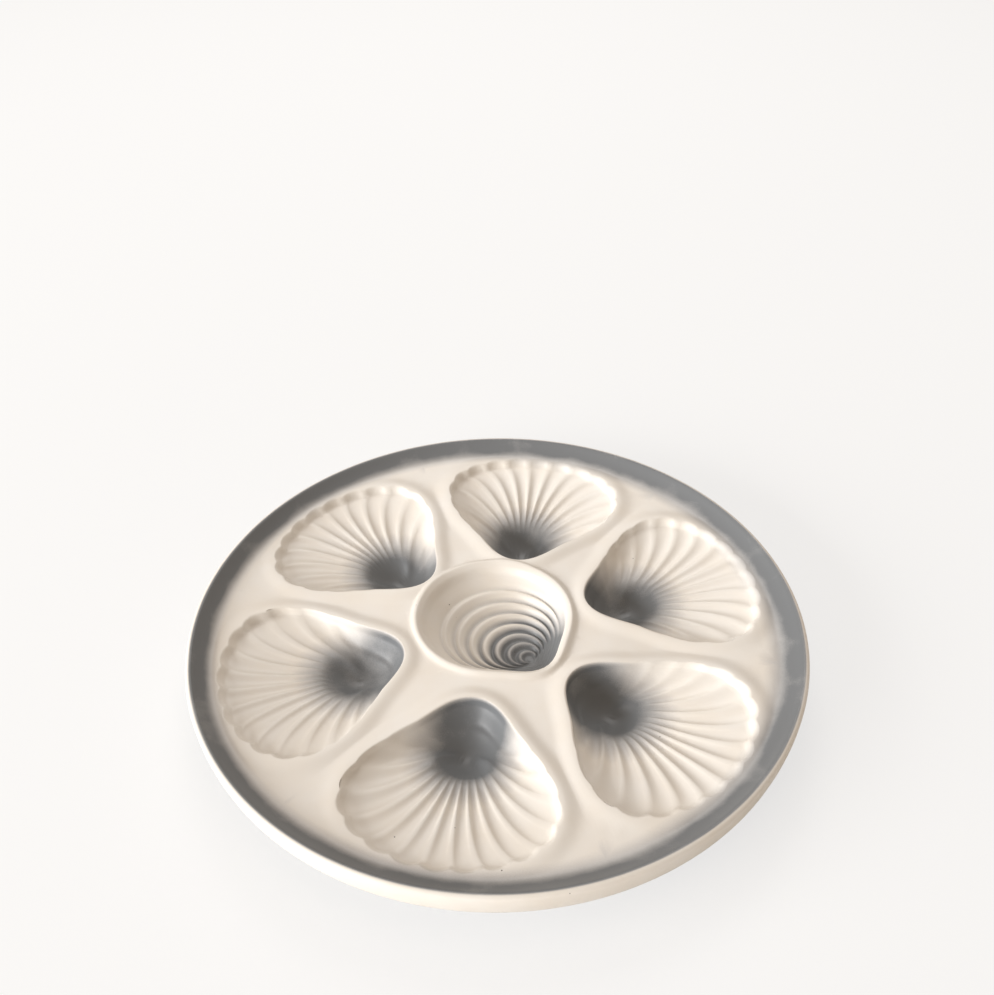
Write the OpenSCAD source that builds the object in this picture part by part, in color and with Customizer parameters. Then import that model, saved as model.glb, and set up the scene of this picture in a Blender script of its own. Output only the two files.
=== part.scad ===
// Oyster plate with six fluted scallop wells round a ridged centre well.
// One pressed clay body under a fired glaze coat, ground bare where it stands.

/* [Plate] */
// Diameter over the glazed rim
plate_d = 245; // [240:1:256]
// Rise of the rim's lip above the field between the wells
rim_rise = 6; // [4.5:0.5:8]
// Rise of that field from its lowest ring out to the rim's foot
outer_lift = 1; // [0:0.1:1.6]
// Rise of that field from its lowest ring in to the centre well
inner_lift = 0.8; // [0:0.1:1.6]
// Width of the rim, from the shells' outer ends to the outside
rim_w = 11; // [9:0.5:13]
// Thickness under the field, glaze included
base_t = 5; // [4:0.5:7]
// Thickness of the fired glaze
glaze_t = 0.35; // [0.2:0.05:0.5]
// Depth ground off under each shell's bowl to make its foot
foot_grind = 0.8; // [0.6:0.05:1]

/* [Shell wells] */
// From the hub where the flutes meet to the fan's outer end, in a shell that just fills its room
fan_reach = 54.5; // [50:0.5:60]
// From the same hub inwards to the hinge end, in the same shell
hinge_reach = 18; // [15:0.5:21]
// How far the hinge end stands out as a point
hinge_point = 2.5; // [0:0.5:4]
// Clear width between a shell's hinge end and the bead of the centre well
hinge_gap = 1.6; // [1:0.1:4]
// Depth of the smooth bowl at the hub
bowl_d = 13; // [10:0.5:15]
// Depth where the flutes leave the bowl
throat_d = 6.5; // [4:0.5:8]
// Depth along the fan's lobed edge
edge_d = 0.75; // [0.25:0.25:2]
// Depth of a flute between its two crests
flute_d = 1.5; // [0.4:0.1:2]
// How far a flute's lobe stands out of the edge
lobe_h = 1.6; // [0.4:0.1:2]
// Height of the raised border round a shell
border_h = 1.2; // [0.4:0.1:1.6]
// From the ends of a shell's lobes to the crest of its border
border_w = 0.8; // [0.4:0.1:2.5]

/* [Centre well] */
// Mean radius of the mouth
mouth_r = 29.3; // [26:0.1:30]
// How far the mouth lies off the plate's axis
mouth_shift = 6.1; // [3:0.1:6.5]
// How far the pointed end stands out of the mouth's circle
corner_h = 5.6; // [2:0.1:6.5]
// Depth at the beak, where the growth ridges meet
centre_d = 11.5; // [9:0.5:12]
// Depth of the steep wall under the mouth
wall_d = 7; // [4:0.5:8]
// Height of the growth ridges
ridge_h = 1; // [0.2:0.1:1.3]
// Height of the bead round the mouth
bead_h = 1.4; // [0.6:0.1:2]
// From the mouth to the crest of the bead
bead_w = 2; // [1.5:0.1:2.8]

/* [Rim] */
// Radius of the lip's rounding
lip_r = 1.6; // [1:0.1:2]
// Draft of the outer wall, drawn in at its foot
wall_draft = 1; // [0.2:0.1:2]

/* [Hidden] */
// Overrun of the grinding cut past the body
overrun = 5;
// Shells round the plate, and the angle of the one in front
shells = 6;
front_angle = -90;
// Flutes in a shell, the angle that each takes, what those at the flanks take more by the square
// of the flutes past the even ones, and the turn of the set
flutes = 16;
flute_pitch = 11.3;
flute_widen = 3;
even_steps = 12;
flute_turn = 7;
// From the hub back to where the flutes' curved lines meet, and their powers outward and sideways
flare_reach = 9;
axial_power = 1.5;
lateral_power = 1.2;
// Angle off a shell's axis where its outline and its side walls draw in
shoulder_angle = 70.5;
flank_angle = 80;
draw_power = 6;
// Angle over which the hinge end's point fades
point_spread = 38;
// Share of a flute's reach at which the bowl ends and the flutes begin
throat_share = 0.25;
// Power of the hinge end's wall
hinge_power = 2.5;
// Share of the reach at which the flutes end and the end wall begins
end_share = 0.955;
// Where the rings of a shell lie, as shares of the way along the flutes' lines
shell_ring_shares = [0.25, 0.62, 1];
// Share of the flute's depth that each of those rings has
flute_ring_shares = [0.2, 1, 0.8];
// Share of the border's height that the shell's edge has
edge_lift_share = 0.5;
// Half pitches from a shell's axis to the corner of its sector
corner_step = 9;
// Steps round the hinge end, of which those to each side's inner corner come first
hinge_steps = 8;
inner_corner_step = 2;
// Direction in which the mouth lies off the axis, and that of its pointed end
shift_angle = 115.6;
corner_angle = -39.8;
corner_spread = 25;
// Beak of the centre well, as shares of the mouth's radius across and along
beak_shares = [0.53, -0.17];
// Growth ridges, and the shares of the way from beak to mouth at which they and the wall end
ridges = 8;
ridge_end_share = 0.86;
wall_ring_share = 0.94;
// How the ridges crowd together towards the beak
ridge_power = 1.15;
// Powers of the centre well's floor, and of its wall on the longest and the shortest side
floor_power = 1.5;
wall_power = 5;
least_power = 2;
// Share of the way from the centre well to the rim's foot at which the field lies lowest
valley_share = 0.45;
// How steep the inside of the rim turns up, and where on the lip's rounding it ends
slope_power = 1.7;
lip_join_angle = 135;
// Share of the rim's width by which its foot gives way to a shell's end
slope_share = 0.41;
// Clay that the underside keeps beside a well, and the flat under a bowl that just fills its room
under_grow = 3;
foot_r = 6;
// Share of a bulge's reach over which it fades into the underside
fade_share = 0.8;
// Where the underside's rings lie, as shares of the fan's reach beyond the hub
// and, below zero, of the hinge's reach before it
under_ring_shares = [0.71, 0.345, 0.105, -0.335];
// Share of the way from beak to mouth of the ring under the centre well
under_centre_share = 0.55;

plate_r = plate_d / 2;
field_z = bowl_d + base_t - foot_grind;
rim_z = field_z + rim_rise;
under_z = field_z - base_t;
foot_line_r = plate_r - rim_w;
// A shell fills the room between the centre well's bead and the rim
well_end_r = mouth_r + mouth_shift + bead_w + hinge_gap;
shell_fit = (foot_line_r - well_end_r) / (fan_reach + hinge_reach);
fan_r = fan_reach * shell_fit;
hinge_r = hinge_reach * shell_fit;
point_r = hinge_point * shell_fit;
flare_r = flare_reach * shell_fit;
flat_r = foot_r * shell_fit;
hub_r = well_end_r + hinge_r;
valley_r = well_end_r + valley_share * (foot_line_r - well_end_r);
bead_z = field_z + inner_lift;
slope_top_r = plate_r - lip_r * (1 - cos(lip_join_angle));
slope_top_z = rim_z - lip_r * (1 - sin(lip_join_angle));
sector = 360 / shells;
corner_way = atan2(foot_line_r * sin(sector / 2), foot_line_r * cos(sector / 2) - hub_r);
half_pitch = flute_pitch / 2;
fan_end = fan_angle(flutes);
hinge_step = (360 - 2 * fan_end) / hinge_steps;
columns = 2 * flutes + hinge_steps;
side_end = flutes + inner_corner_step - 1;
side_steps = side_end + 1 - corner_step;
arc_steps = 2 * corner_step;
mouth_steps = hinge_steps - 2 * inner_corner_step;
rim_columns = shells * arc_steps;
mouth_columns = shells * mouth_steps;
under_columns = rim_columns / 2;
beak = [beak_shares[0] * mouth_r, beak_shares[1] * mouth_r];
shell_rings = len(shell_ring_shares) + 1;
centre_rings = 2 * ridges + 1;

function ray(r, a) = [r * cos(a), r * sin(a)];
function mix(a, b, t) = a + (b - a) * t;
function turn(p, a) = [p[0] * cos(a) - p[1] * sin(a), p[0] * sin(a) + p[1] * cos(a)];
function at(p, z) = [p[0], p[1], z];
function wrap(a) = a > 180 ? a - 360 : a;

// One shell, about its hub, with its fan towards +X

// 1 over the fan and falling to 0 round the hinge
function over_fan(a, knee) = 1 / (1 + pow(abs(a) / knee, draw_power));
function reach(a) = mix(hinge_r - point_r, fan_r, over_fan(a, shoulder_angle))
    + point_r * exp(-pow((180 - abs(a)) / point_spread, 2));

// Depth below the field at a share s of the reach
function fan_depth(s) = edge_d + (throat_d - edge_d) * (1 - s)
    + (bowl_d - throat_d) * max(0, 1 - pow(s / throat_share, 2));
function hinge_depth(s) = bowl_d * (1 - pow(s, hinge_power));
function shell_depth(s, a) = mix(hinge_depth(s), fan_depth(s), over_fan(a, flank_angle));

// Columns stand on the crests and in the middle of the flutes, then evenly round the hinge
function step_of(j) = j <= columns / 2 ? j : j - columns;
function fan_angle(n) = n * half_pitch + flute_widen * pow(max(0, n - even_steps) / 2, 2);
function base_angle(q) = sign(q) * (fan_angle(min(abs(q), flutes)) + max(0, abs(q) - flutes) * hinge_step);
function column_angle(q) = base_angle(q) + flute_turn * pow(cos(base_angle(q) / 2), 2);
function in_flute(q) = abs(q) < flutes && abs(q) % 2 == 1 ? 1 : 0;
function lobe(q) = abs(q) > flutes ? 0
    : (in_flute(q) - 0.5) * lobe_h * over_fan(column_angle(q), flank_angle);

// The lobed edge, and a point on a flute's line, which leaves its place behind the hub along the axis
// and spreads sideways on its way to the edge
function shell_edge(q) = ray(reach(column_angle(q)) + lobe(q), column_angle(q));
function flared(p, s) = [mix(-flare_r, p[0], 1 - pow(1 - s, axial_power)), p[1] * pow(s, lateral_power)];
function shell_spot(i, q) = i == shell_rings - 1 ? shell_edge(q)
    : flared(end_share * shell_edge(q), shell_ring_shares[i]);
function shell_point(i, q) = shell_spot(i, q) + [hub_r, 0];
function shell_z(i, q) = i == shell_rings - 1 ? land_z(norm(shell_point(i, q))) + edge_lift_share * border_h
    : let (p = shell_spot(i, q), way = atan2(p[1], p[0]), s = min(1, norm(p) / reach(way)))
        field_z - shell_depth(s, way) - flute_d * flute_ring_shares[i] * in_flute(q);

// The border round a shell's sector: rim slope, radial lines and the bead's crest

// Height of the field at radius r, which rises both ways from its lowest ring
function land_z(r) = field_z + (r > valley_r
    ? outer_lift * pow(min(1, (r - valley_r) / (foot_line_r - valley_r)), 2)
    : inner_lift * pow(min(1, (valley_r - r) / (valley_r - well_end_r)), 2));
function slope_z(r) = mix(field_z + outer_lift, slope_top_z,
    pow(max(0, (r - foot_line_r) / (slope_top_r - foot_line_r)), slope_power));
function slope_r(a) = foot_line_r + slope_share * rim_w * pow(cos(180 * a / sector), 2);
// Where a ray from the hub meets the line between two sectors, with the first ray at the corner
function side_way(q) = mix(corner_way, base_angle(side_end), (base_angle(q) - base_angle(corner_step))
    / (base_angle(side_end) - base_angle(corner_step)));
function line_r(q) = hub_r * sin(side_way(q)) / sin(side_way(q) - sector / 2);
function mouth(a) = mouth_r + mouth_shift * cos(a - shift_angle)
    + corner_h * exp(-pow(wrap((a - corner_angle + 720) % 360) / corner_spread, 2));

// Point of column q on that border, in the frame of the shell at angle a
function edge_angle(q) = abs(q) <= corner_step ? q * sector / arc_steps
    : abs(q) <= side_end ? sign(q) * sector / 2
    : sign(q) * (columns / 2 - abs(q)) * sector / mouth_steps;
function edge_r(q, a) = abs(q) <= corner_step ? slope_r(edge_angle(q))
    : abs(q) <= side_end ? line_r(abs(q))
    : mouth(a + edge_angle(q)) + bead_w;
function edge_z(q, a) = abs(q) <= corner_step ? slope_z(edge_r(q, a))
    : abs(q) <= side_end ? land_z(line_r(abs(q))) : bead_z + bead_h;

// Crest of the raised border, between the ends of the shell's lobes and its sector's border
function crest_point(q, a) = let (
    p = ray(reach(column_angle(q)) + lobe_h / 2, column_angle(q)) + [hub_r, 0],
    e = ray(edge_r(q, a), edge_angle(q)))
    mix(p, e, min(0.5, border_w / norm(e - p)));

// Depth of the underside's bulge below under_z, at radius r and angle a
function bulge(r, a) = let (
    off = a - sector * round(a / sector),
    p = ray(r, off) - [hub_r, 0],
    way = atan2(p[1], p[0]),
    s = min(1, max(0, norm(p) - flat_r) / (reach(way) + under_grow - flat_r)),
    fade = max(0, (s - fade_share) / (1 - fade_share)))
    shell_depth(s, way) * (1 - fade * fade * (3 - 2 * fade));

// Depth of the centre well at a share s of the way from beak to mouth, along angle a
function wall_of(a) = max(least_power, wall_power * norm(ray(mouth(a), a) - beak) / (2 * mouth_r));
function centre_depth(s, a) = wall_d * (1 - pow(s, wall_of(a)))
    + (centre_d - wall_d) * (1 - pow(s, floor_power));

// Rings of the centre well lie in the grooves and on the crests of its ridges, then up the wall
function centre_share(n) = n < 2 * ridges ? ridge_end_share * pow((n + 1) / (2 * ridges), ridge_power)
    : wall_ring_share;
function ridge_lift(n) = n < 2 * ridges ? ridge_h * (n % 2 - 0.5) : 0;

// Every point of the skin, drawn in by t, in the order that the faces below count them
function shell_points(a, t) = concat(
    [at(turn([hub_r, 0], a), field_z - bowl_d - t)],
    [for (i = [0 : shell_rings - 1], j = [0 : columns - 1])
        at(turn(shell_point(i, step_of(j)), a), shell_z(i, step_of(j)) - t)],
    [for (j = [0 : columns - 1]) let (p = crest_point(step_of(j), a))
        at(turn(p, a), land_z(norm(p)) + border_h - t)]);
function arc_points(t) = [for (k = [0 : shells - 1], q = [-corner_step : corner_step - 1])
    at(ray(edge_r(q, 0), front_angle + k * sector + edge_angle(q)), edge_z(q, 0) - t)];
function line_points(t) = [for (k = [0 : shells - 1], m = [1 : side_steps - 1])
    at(ray(line_r(corner_step + m), front_angle + (k + 0.5) * sector), land_z(line_r(corner_step + m)) - t)];
function mouth_angle(i) = front_angle + (i / mouth_steps - 0.5) * sector;
function bead_points(t) = [for (i = [0 : mouth_columns - 1])
    at(ray(mouth(mouth_angle(i)) + bead_w, mouth_angle(i)), bead_z + bead_h - t)];
function mouth_points(t) = [for (i = [0 : mouth_columns - 1])
    at(ray(mouth(mouth_angle(i)), mouth_angle(i)), bead_z - t)];
function centre_points(t) = concat(
    [for (n = [centre_rings - 1 : -1 : 0], i = [0 : mouth_columns - 1]) let (
        a = mouth_angle(i), s = centre_share(n))
        at(mix(beak, ray(mouth(a), a), s), field_z - centre_depth(s, a) + ridge_lift(n) - t)],
    [at(beak, field_z - centre_d - t)]);
function rim_angle(i) = front_angle + (i / arc_steps - 0.5) * sector;
function rim_points(t) = concat(
    [for (i = [0 : rim_columns - 1]) at(ray(slope_top_r, rim_angle(i)), slope_top_z - t)],
    [for (i = [0 : rim_columns - 1]) at(ray(plate_r - lip_r, rim_angle(i)), rim_z - t)],
    [for (i = [0 : rim_columns - 1]) at(ray(plate_r - t, rim_angle(i)), rim_z - lip_r)]);
function under_angle(c) = rim_angle(2 * c + 1);
function under_r(n) = hub_r + n * (n > 0 ? fan_r : hinge_r);
function under_points(t) = concat(
    [for (c = [0 : under_columns - 1]) at(ray(plate_r - wall_draft - t, under_angle(c)), under_z + t)],
    [for (n = under_ring_shares, c = [0 : under_columns - 1]) let (r = under_r(n))
        at(ray(r, under_angle(c)), under_z - bulge(r, under_angle(c) - front_angle) + t)],
    [for (c = [0 : under_columns - 1]) let (r = mouth(under_angle(c)) + under_grow)
        at(ray(r, under_angle(c)), under_z - bulge(r, under_angle(c) - front_angle) + t)],
    [for (c = [0 : under_columns - 1]) let (a = under_angle(c), s = under_centre_share)
        at(mix(beak, ray(mouth(a) + under_grow, a), s), under_z - centre_depth(s, a) + t)],
    [at(beak, under_z - centre_d + t)]);
function skin_points(t) = concat(
    [for (k = [0 : shells - 1]) each shell_points(front_angle + k * sector, t)],
    arc_points(t), line_points(t), bead_points(t), mouth_points(t), centre_points(t),
    rim_points(t), under_points(t));

// Where each run of points starts
shell_size = 1 + (shell_rings + 1) * columns;
arc_from = shells * shell_size;
line_from = arc_from + rim_columns;
bead_from = line_from + shells * (side_steps - 1);
mouth_from = bead_from + mouth_columns;
beak_at = mouth_from + (1 + centre_rings) * mouth_columns;
rim_from = beak_at + 1;
under_from = rim_from + 3 * rim_columns;
under_rings = 3 + len(under_ring_shares);
under_at = under_from + under_rings * under_columns;

// Two triangles between column j of one ring and of the next, wound for a surface seen from outside
function pair(a, b, c, d) = [[a, b, c], [a, c, d]];
function band(from, to, n) = [for (j = [0 : n - 1]) let (m = (j + 1) % n)
    each pair(from + j, from + m, to + m, to + j)];
function border_at(k, q) = let (m = q < 0 ? (k + shells - 1) % shells : k)
    abs(q) <= corner_step ? arc_from + (k * arc_steps + q + corner_step) % rim_columns
    : abs(q) <= side_end ? line_from + m * (side_steps - 1) + abs(q) - corner_step - 1
    : bead_from + (k * mouth_steps + mouth_steps / 2 + sign(q) * (columns / 2 - abs(q))
        + mouth_columns) % mouth_columns;
function shell_faces(k) = let (hub = k * shell_size, rings = hub + 1,
    crest = rings + shell_rings * columns) concat(
    [for (j = [0 : columns - 1]) [hub, rings + (j + 1) % columns, rings + j]],
    [for (i = [0 : shell_rings - 1]) each band(rings + i * columns, rings + (i + 1) * columns, columns)],
    [for (j = [0 : columns - 1]) let (m = (j + 1) % columns)
        each pair(crest + j, crest + m, border_at(k, step_of(m)), border_at(k, step_of(j)))]);
function centre_faces() = concat(
    [for (n = [0 : centre_rings]) each band(
        mouth_from + n * mouth_columns, mouth_from + (n - 1) * mouth_columns, mouth_columns)],
    [for (j = [0 : mouth_columns - 1])
        [beak_at, beak_at - mouth_columns + (j + 1) % mouth_columns, beak_at - mouth_columns + j]]);
function wall_faces() = [for (c = [0 : under_columns - 1]) let (
    lip = under_from - rim_columns,
    last = lip + (2 * c + 2) % rim_columns,
    here = under_from + c,
    next = under_from + (c + 1) % under_columns)
    each [[lip + 2 * c, lip + 2 * c + 1, here], [lip + 2 * c + 1, last, here], [last, next, here]]];
skin_faces = concat(
    [for (k = [0 : shells - 1]) each shell_faces(k)],
    centre_faces(),
    band(arc_from, rim_from, rim_columns),
    [for (i = [0 : 1]) each band(rim_from + i * rim_columns, rim_from + (i + 1) * rim_columns, rim_columns)],
    wall_faces(),
    [for (i = [0 : under_rings - 2]) each band(
        under_from + i * under_columns, under_from + (i + 1) * under_columns, under_columns)],
    [for (c = [0 : under_columns - 1]) [under_at, under_at - under_columns + c,
        under_at - under_columns + (c + 1) % under_columns]]);

// The plate's whole form, drawn in by t from the glazed surface
module form(t) {
    polyhedron(points = skin_points(t), faces = skin_faces);
}

// What the grinding wheel takes off below the standing plane
module ground() {
    translate([-plate_r - overrun, -plate_r - overrun, -foot_grind - overrun])
        cube([2 * (plate_r + overrun), 2 * (plate_r + overrun), foot_grind + overrun]);
}

// Pressed and fired clay, bare on the six ground feet
module biscuit_body() {
    color("#e6d5bd")
        difference() {
            form(glaze_t);
            ground();
        }
}

// Fired glaze over the face, the rim and the underside, open at the ground feet
module glaze_coat() {
    color("#efe9dc")
        difference() {
            form(0);
            form(glaze_t);
            ground();
        }
}

biscuit_body();
glaze_coat();
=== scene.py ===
"""Oyster plate: a moulded faience plate with six fluted scallop wells round a ridged centre well."""

import math

import bpy
import numpy as np
from bpy.props import FloatProperty, FloatVectorProperty, IntProperty, PointerProperty
from mathutils import Matrix, Quaternion, Vector


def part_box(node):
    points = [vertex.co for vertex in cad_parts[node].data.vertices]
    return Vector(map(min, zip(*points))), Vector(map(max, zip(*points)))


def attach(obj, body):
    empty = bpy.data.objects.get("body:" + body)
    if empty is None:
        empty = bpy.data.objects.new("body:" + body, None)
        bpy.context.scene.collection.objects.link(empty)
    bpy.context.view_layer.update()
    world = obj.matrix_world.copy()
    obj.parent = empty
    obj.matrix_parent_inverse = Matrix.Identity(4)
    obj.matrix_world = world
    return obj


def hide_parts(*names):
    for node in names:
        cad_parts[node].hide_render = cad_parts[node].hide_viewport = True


bl_info = {
    "name": "Oyster plate",
    "version": (1, 0, 0),
    "blender": (4, 5, 0),
    "location": "View3D > Sidebar > Oyster plate",
    "description": "Builds a glazed oyster plate with scallop wells, its clay body and a studio for it",
    "category": "Add Mesh",
}

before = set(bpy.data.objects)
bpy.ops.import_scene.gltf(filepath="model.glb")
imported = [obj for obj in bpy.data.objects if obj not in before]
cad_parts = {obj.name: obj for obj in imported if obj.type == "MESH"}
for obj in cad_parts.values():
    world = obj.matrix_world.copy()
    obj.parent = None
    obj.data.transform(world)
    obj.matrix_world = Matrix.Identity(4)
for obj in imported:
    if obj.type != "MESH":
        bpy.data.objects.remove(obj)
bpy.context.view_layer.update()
GLAZE_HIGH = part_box("glaze_coat")[1]
CLAY_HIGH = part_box("biscuit_body")[1]
MM = 0.001

# Shells round the plate, the direction of the one in front and the angle that each takes
SHELLS = 6
FRONT = math.radians(-90)
SECTOR = math.radians(360 / SHELLS)
# Flutes in a shell, each two steps wide, the steps off its axis up to which they are even, and the
# steps round its hinge end
FLUTES = 16
EVEN_STEPS = 12
HINGE_STEPS = 8
# Where a sector has its outer corner, in steps off the shell's axis, and its inner one, in steps past
# the flutes
CORNER_STEP = 9
INNER_CORNER_STEP = 2
# Steps along the centre well's mouth in a sector, and from a shell's axis round to its hinge end
MOUTH_STEPS = HINGE_STEPS - 2 * INNER_CORNER_STEP
HALF_TURN_STEPS = FLUTES + HINGE_STEPS // 2
# Columns that a step is split into, and the rows of each stretch of the face, rim and underside
FINE = 3
FLOOR_ROWS = 26
WALL_ROWS = 5
LAND_ROWS = 10
CENTRE_ROWS = 64
CENTRE_WALL_ROWS = 7
BEAD_ROWS = 6
SLOPE_ROWS = 7
LIP_ROWS = 7
OUTSIDE_ROWS = 3
HEEL_ROWS = 4
BULGE_ROWS = 8
FLAT_ROWS = 3
UNDER_CENTRE_ROWS = 12
# Powers that crowd rows together towards the hub, a shell's edge and a ground pad, and the share of
# the way to the mouth from which the centre's rows are closer
FLOOR_CROWD = 1.15
LAND_CROWD = 1.3
BULGE_CROWD = 1.2
CLOSER_SHARE = 0.9
# Halvings that find a pad's edge, and the size of the cells in which points count as the same
HALVINGS = 30
SAME_POINT = 0.002 * MM


def linear(hex_colour):
    """A colour written as sRGB hex, as the linear values that shaders take."""
    channels = [int(hex_colour[i : i + 2], 16) / 255 for i in (1, 3, 5)]
    return tuple(c / 12.92 if c <= 0.04045 else ((c + 0.055) / 1.055) ** 2.4 for c in channels)


def length(name, description, default):
    """A property that holds a length in metres."""
    return FloatProperty(
        name=name, description=description, default=default, unit="LENGTH", precision=5
    )


def position(name, description, default):
    """A property that holds a place in metres."""
    return FloatVectorProperty(
        name=name, description=description, default=default, subtype="TRANSLATION", unit="LENGTH"
    )


def power(name, description, default):
    """A property that holds a lamp's power in watts."""
    return FloatProperty(name=name, description=description, default=default, unit="POWER")


def angle(name, description, default):
    """A property that holds an angle, given here in degrees."""
    return FloatProperty(
        name=name, description=description, default=math.radians(default), subtype="ANGLE"
    )


def share(name, description, default):
    """A property that holds a share or a power, with no unit."""
    return FloatProperty(name=name, description=description, default=default)


def colour(name, description, default):
    """A property that holds a colour, given here as sRGB hex."""
    return FloatVectorProperty(
        name=name, description=description, default=linear(default), subtype="COLOR", min=0, max=1
    )


class PlateSizes(bpy.types.PropertyGroup):
    """The plate as a whole, its rim and its underside."""

    plate_r: length("Radius", "Radius over the glazed rim", GLAZE_HIGH.x)
    rim_z: length("Height", "Height of the rim over the table", GLAZE_HIGH.z)
    glaze_t: length("Glaze", "Thickness of the fired glaze", GLAZE_HIGH.z - CLAY_HIGH.z)
    rim_rise: length("Rim rise", "Rise of the lip above the field between the wells", 6 * MM)
    rim_w: length("Rim width", "From the shells' outer ends to the outside", 11 * MM)
    base_t: length("Base", "Thickness under the field, glaze included", 5 * MM)
    lip_r: length("Lip", "Radius of the lip's rounding", 1.6 * MM)
    lip_join: angle("Lip join", "Where on the lip's rounding the inner slope meets it", 135)
    slope_power: share("Slope power", "How steeply the inside of the rim turns up", 1.7)
    slope_in: length("Slope start", "How far out of a shell's end the rim's patch begins", 4.51 * MM)
    wall_draft: length("Draft", "How far the outer wall draws in at its foot", 1 * MM)
    heel_r: length("Heel", "Radius of the turn under the outer wall", 1.8 * MM)
    foot_r: length("Foot", "Flat under a shell's bowl before it is ground", 6 * MM)
    under_grow: length("Under margin", "Clay that the underside keeps beside a well", 3 * MM)
    under_waist: share("Under waist", "Share of that margin kept beside a hinge end", 1 / 3)
    under_fade: share("Under fade", "Share of the way out from which a shell's bulge fades", 0.8)
    valley_r: length("Valley", "Radius of the lowest ring of the land between the wells", 71.6 * MM)
    outer_lift: length("Outer lift", "Rise of the land from there to the rim's foot", 1 * MM)
    inner_lift: length("Inner lift", "Rise of the land from there to the centre well", 0.8 * MM)
    inner_r: length("Inner land", "Radius within which the land rises no more", 39 * MM)


class ShellSizes(bpy.types.PropertyGroup):
    """One of the scallop wells."""

    fan_reach: length("Fan reach", "From the hub to the fan's outer end", 54.5 * MM)
    hinge_reach: length("Hinge reach", "From the hub to the hinge end", 18 * MM)
    hinge_point: length("Hinge point", "How far the hinge end stands out as a point", 2.5 * MM)
    point_spread: angle("Point spread", "Angle over which that point fades", 38)
    shoulder: angle("Shoulder", "Angle off the axis where the outline draws in", 70.5)
    flank: angle("Flank", "Angle off the axis where the side walls begin", 80)
    draw_power: share("Draw power", "How suddenly the outline draws in", 6)
    flute_pitch: angle("Flute pitch", "Angle that a flute takes across the fan's end", 11.3)
    flute_widen: angle("Flute widening", "What the flutes at the flanks take more, by the square", 3)
    flute_turn: angle("Flute turn", "Turn of the flutes about the hub", 7)
    flare_x: length("Flare", "From the hub back to where the flutes' lines meet", 9 * MM)
    axial_power: share("Axial power", "How soon a flute's line goes outward", 1.5)
    lateral_power: share("Lateral power", "How late it goes sideways", 1.2)
    bowl_d: length("Bowl depth", "Depth of the smooth bowl at the hub", 13 * MM)
    throat_d: length("Throat depth", "Depth where the flutes leave the bowl", 6.5 * MM)
    edge_d: length("Edge depth", "Depth along the fan's lobed edge", 0.75 * MM)
    throat_share: share("Throat", "Share of the reach at which the bowl ends", 0.25)
    throat_soft: share("Throat softness", "Share of the reach over which that edge is rounded", 0.05)
    groove_d: length("Groove", "Depth of the groove that runs round inside the hinge end", 0.7 * MM)
    groove_start: share("Groove start", "Share of the reach where that groove begins", 0.6)
    groove_deep: share("Groove middle", "Share of the reach where it is deepest", 0.74)
    groove_end: share("Groove end", "Share of the reach where it ends", 0.92)
    hinge_power: share("Hinge power", "Power of the hinge end's wall", 2.5)
    flute_d: length("Flute depth", "Depth of a flute between its two crests", 1.2 * MM)
    flute_start: length("Flute start", "From the hub to where the flutes leave the smooth bowl", 9 * MM)
    flute_full: length("Flute full", "From the hub to where they have their depth", 27 * MM)
    flute_fall: share("Flute fall", "Share of their depth that the flutes lose towards the edge", 0.55)
    flute_power: share("Flute power", "How flat a flute's floor is", 2.6)
    crest_soft: share("Crest softness", "How far the crests are rounded by the glaze", 0.2)
    lobe_h: length("Lobe", "How far a flute's lobe stands out of the edge", 1.4 * MM)
    edge_share: share("Edge", "Share of the reach where the end wall begins", 0.94)
    border_h: length("Border height", "Height of the raised border", 1.2 * MM)
    border_w: length("Border crest", "From the edge to where the border begins to fall", 0.8 * MM)
    border_fade: length("Border fade", "From the edge to where the border has gone", 7.5 * MM)
    border_fall: share("Border fall", "Share of its height that it loses round the fan's end", 0.7)
    border_knee: angle("Border knee", "Angle off the axis where it gains that height again", 42.3)


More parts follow.
